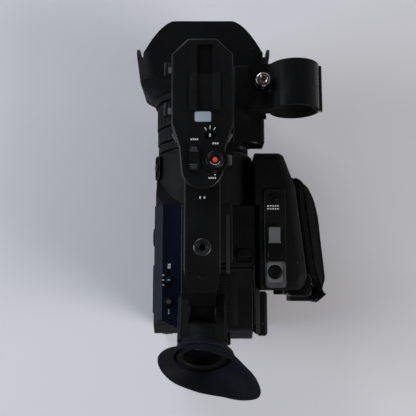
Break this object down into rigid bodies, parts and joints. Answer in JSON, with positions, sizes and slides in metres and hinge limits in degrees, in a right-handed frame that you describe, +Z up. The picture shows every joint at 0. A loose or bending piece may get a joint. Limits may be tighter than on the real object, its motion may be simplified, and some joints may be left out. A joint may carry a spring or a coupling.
{
  "type": "camcorder",
  "caption": "Handheld professional video camera with a carrying handle, hooded zoom lens, side hand grip with strap, tilting viewfinder, folding monitor and microphone holder.",
  "frame": {"origin": "the mouth of the tripod socket, in the plane of the feet, below the lens axis", "axes": "+X to the operator's right, +Y forward along the lens axis, +Z up"},
  "size_m": [0.1832, 0.3265, 0.1862],
  "materials": {
    "body_shell": "fine moulded grain, black",
    "body_panel": "smooth satin, blue-black",
    "handle_satin": "satin black",
    "key_plastic": "satin black keys",
    "key_grey": "satin dark grey key",
    "battery_case": "matt black, slatted",
    "holder_plastic": "semi-gloss black",
    "hood_plastic": "matt black",
    "rubber": "soft black",
    "grip_rubber": "soft-touch black",
    "eyecup_rubber": "soft black",
    "strap_fabric": "woven black webbing over padding",
    "steel": "brushed",
    "silver": "satin silver",
    "shoe_metal": "black coated",
    "socket_metal": "dark nickel",
    "knob_nickel": "warm nickel plate",
    "lens_metal": "black anodised",
    "lens_glass": "coated optical glass",
    "aluminium": "plain",
    "circuit_board": "solder-masked board"
  },
  "bodies": {
    "chassis": {"accessory_shoe": "shoe_metal", "audio_block": "body_shell", "base_cover": "body_shell", "battery_bay": "body_shell", "clamp_lower": "holder_plastic", "cooling_unit": "aluminium", "grip_plate": "body_shell", "grip_shell": "grip_rubber", "hand_strap": "strap_fabric", "handle_cover": "handle_satin", "handle_frame": "body_shell", "head_lower": "body_shell", "head_upper": "handle_satin", "hinge_pins": "steel", "left_cover": "body_panel", "lens_barrel": "lens_metal", "lens_glass": "lens_glass", "lens_hood": "hood_plastic", "lens_housing": "body_shell", "main_board": "circuit_board", "monitor_hinge": "silver", "rear_cover": "body_shell", "rear_sockets": "socket_metal", "right_cover": "body_shell", "rubber_feet": "rubber", "screws": "steel", "sensor_unit": "aluminium", "strap_anchors": "steel", "terminal_block": "body_shell", "threaded_inserts": "steel", "top_cover": "body_shell"},
    "focus_ring": {"focus_ring": "grip_rubber"},
    "zoom_ring": {"zoom_ring": "grip_rubber"},
    "iris_ring": {"iris_ring": "grip_rubber"},
    "zoom_cell": {"zoom_cell": "lens_glass"},
    "nd_switch": {"nd_switch": "key_plastic"},
    "battery": {"battery_pack": "battery_case"},
    "battery_release": {"battery_release": "key_plastic"},
    "card_door": {"card_door": "body_shell"},
    "audio_slider": {"audio_slider": "key_plastic"},
    "user_button": {"user_button": "key_plastic"},
    "menu_dial": {"menu_dial": "key_plastic"},
    "fan_rotor": {"fan_rotor": "key_plastic"},
    "handle_zoom_rocker": {"handle_zoom_rocker": "key_plastic"},
    "record_button": {"record_button": "key_plastic"},
    "hold_lever": {"hold_lever": "key_plastic"},
    "speed_switch": {"speed_switch": "key_plastic"},
    "side_switch": {"side_switch": "key_grey"},
    "monitor": {"monitor_arm": "silver", "monitor_panel": "body_shell"},
    "viewfinder": {"evf_body": "body_shell", "eyepiece_lens": "lens_glass", "eyecup": "eyecup_rubber"},
    "diopter_dial": {"diopter_dial": "key_plastic"},
    "clamp_arm": {"clamp_upper": "holder_plastic"},
    "clamp_knob": {"clamp_knob": "knob_nickel"},
    "grip_zoom_rocker": {"grip_zoom_rocker": "key_plastic"},
    "focus_assist_button": {"focus_assist_button": "key_plastic"},
    "function_button": {"function_button": "key_plastic"},
    "thumb_button": {"thumb_button": "key_plastic"}
  },
  "joints": [
    {"name": "focus_turn", "type": "hinge", "parent": "chassis", "child": "focus_ring", "pos_m": [0, 0.086, 0.08], "axis": [0, 1, 0], "continuous": true},
    {"name": "zoom_turn", "type": "hinge", "parent": "chassis", "child": "zoom_ring", "pos_m": [0, 0.067, 0.08], "axis": [0, 1, 0], "range_deg": [-45, 45]},
    {"name": "iris_turn", "type": "hinge", "parent": "chassis", "child": "iris_ring", "pos_m": [0, 0.056, 0.08], "axis": [0, 1, 0], "continuous": true},
    {"name": "zoom_cell_slide", "type": "slide", "parent": "chassis", "child": "zoom_cell", "axis": [0, 1, 0], "range_m": [-0.009, 0.009]},
    {"name": "nd_select", "type": "slide", "parent": "chassis", "child": "nd_switch", "axis": [0, 1, 0], "range_m": [-0.005, 0.005]},
    {"name": "battery_slide", "type": "slide", "parent": "chassis", "child": "battery", "axis": [0, -1, 0], "range_m": [0, 0.06]},
    {"name": "battery_release_slide", "type": "slide", "parent": "chassis", "child": "battery_release", "axis": [0, -1, 0], "range_m": [0, 0.004], "stiffness_N_per_m": 200},
    {"name": "card_door_open", "type": "hinge", "parent": "chassis", "child": "card_door", "pos_m": [-0.0443, -0.073, 0.037], "axis": [0, -1, 0], "range_deg": [0, 110]},
    {"name": "audio_slide", "type": "slide", "parent": "chassis", "child": "audio_slider", "axis": [0, 1, 0], "range_m": [-0.004, 0.004]},
    {"name": "user_press", "type": "slide", "parent": "chassis", "child": "user_button", "axis": [0, 0, -1], "range_m": [0, 0.0007], "stiffness_N_per_m": 900},
    {"name": "menu_dial_turn", "type": "hinge", "parent": "chassis", "child": "menu_dial", "pos_m": [-0.045, -0.024, 0.066], "axis": [1, 0, 0], "continuous": true},
    {"name": "fan_turn", "type": "hinge", "parent": "chassis", "child": "fan_rotor", "pos_m": [-0.018, -0.04, 0.062], "axis": [1, 0, 0], "continuous": true},
    {"name": "handle_zoom_rock", "type": "hinge", "parent": "chassis", "child": "handle_zoom_rocker", "pos_m": [-0.0066, 0.0275, 0.1818], "axis": [1, 0, 0], "range_deg": [-6, 6], "stiffness_Nm_per_rad": 0.4},
    {"name": "record_press", "type": "slide", "parent": "chassis", "child": "record_button", "axis": [0, 0, -1], "range_m": [0, 0.0014], "stiffness_N_per_m": 900},
    {"name": "hold_turn", "type": "hinge", "parent": "chassis", "child": "hold_lever", "pos_m": [0.01, 0.026, 0.182], "axis": [0, 0, 1], "range_deg": [-25, 25]},
    {"name": "speed_select", "type": "slide", "parent": "chassis", "child": "speed_switch", "axis": [1, 0, 0], "range_m": [-0.0022, 0.0022]},
    {"name": "side_select", "type": "slide", "parent": "chassis", "child": "side_switch", "axis": [0, 1, 0], "range_m": [-0.003, 0.003]},
    {"name": "monitor_open", "type": "hinge", "parent": "chassis", "child": "monitor", "pos_m": [-0.0284, 0.08, 0.1704], "axis": [0, 1, 0], "range_deg": [0, 180]},
    {"name": "viewfinder_tilt", "type": "hinge", "parent": "chassis", "child": "viewfinder", "pos_m": [0, -0.092, 0.14], "axis": [-1, 0, 0], "range_deg": [-33, 25]},
    {"name": "diopter_turn", "type": "hinge", "parent": "viewfinder", "child": "diopter_dial", "pos_m": [0.021, -0.11297, 0.15362], "axis": [1, 0, 0], "range_deg": [-120, 120]},
    {"name": "clamp_open", "type": "hinge", "parent": "chassis", "child": "clamp_arm", "pos_m": [0.098, 0.095, 0.1535], "axis": [0, 1, 0], "range_deg": [0, 95]},
    {"name": "clamp_knob_turn", "type": "hinge", "parent": "clamp_arm", "child": "clamp_knob", "pos_m": [0.05, 0.0975, 0.1615], "axis": [0, 0, 1], "continuous": true},
    {"name": "grip_zoom_rock", "type": "hinge", "parent": "chassis", "child": "grip_zoom_rocker", "pos_m": [0.0626, -0.033, 0.1148], "axis": [1, 0, 0], "range_deg": [-5, 5], "stiffness_Nm_per_rad": 0.4},
    {"name": "focus_assist_press", "type": "slide", "parent": "chassis", "child": "focus_assist_button", "axis": [0, 0, -1], "range_m": [0, 0.0012], "stiffness_N_per_m": 900},
    {"name": "function_press", "type": "slide", "parent": "chassis", "child": "function_button", "axis": [0, 0, -1], "range_m": [0, 0.0012], "stiffness_N_per_m": 900},
    {"name": "thumb_press", "type": "slide", "parent": "chassis", "child": "thumb_button", "axis": [0, 1, 0], "range_m": [0, 0.0015], "stiffness_N_per_m": 900}
  ],
  "couplings": [
    {"joint": "zoom_cell_slide", "follows": "zoom_turn", "m_per_rad": 0.011459}
  ]
}
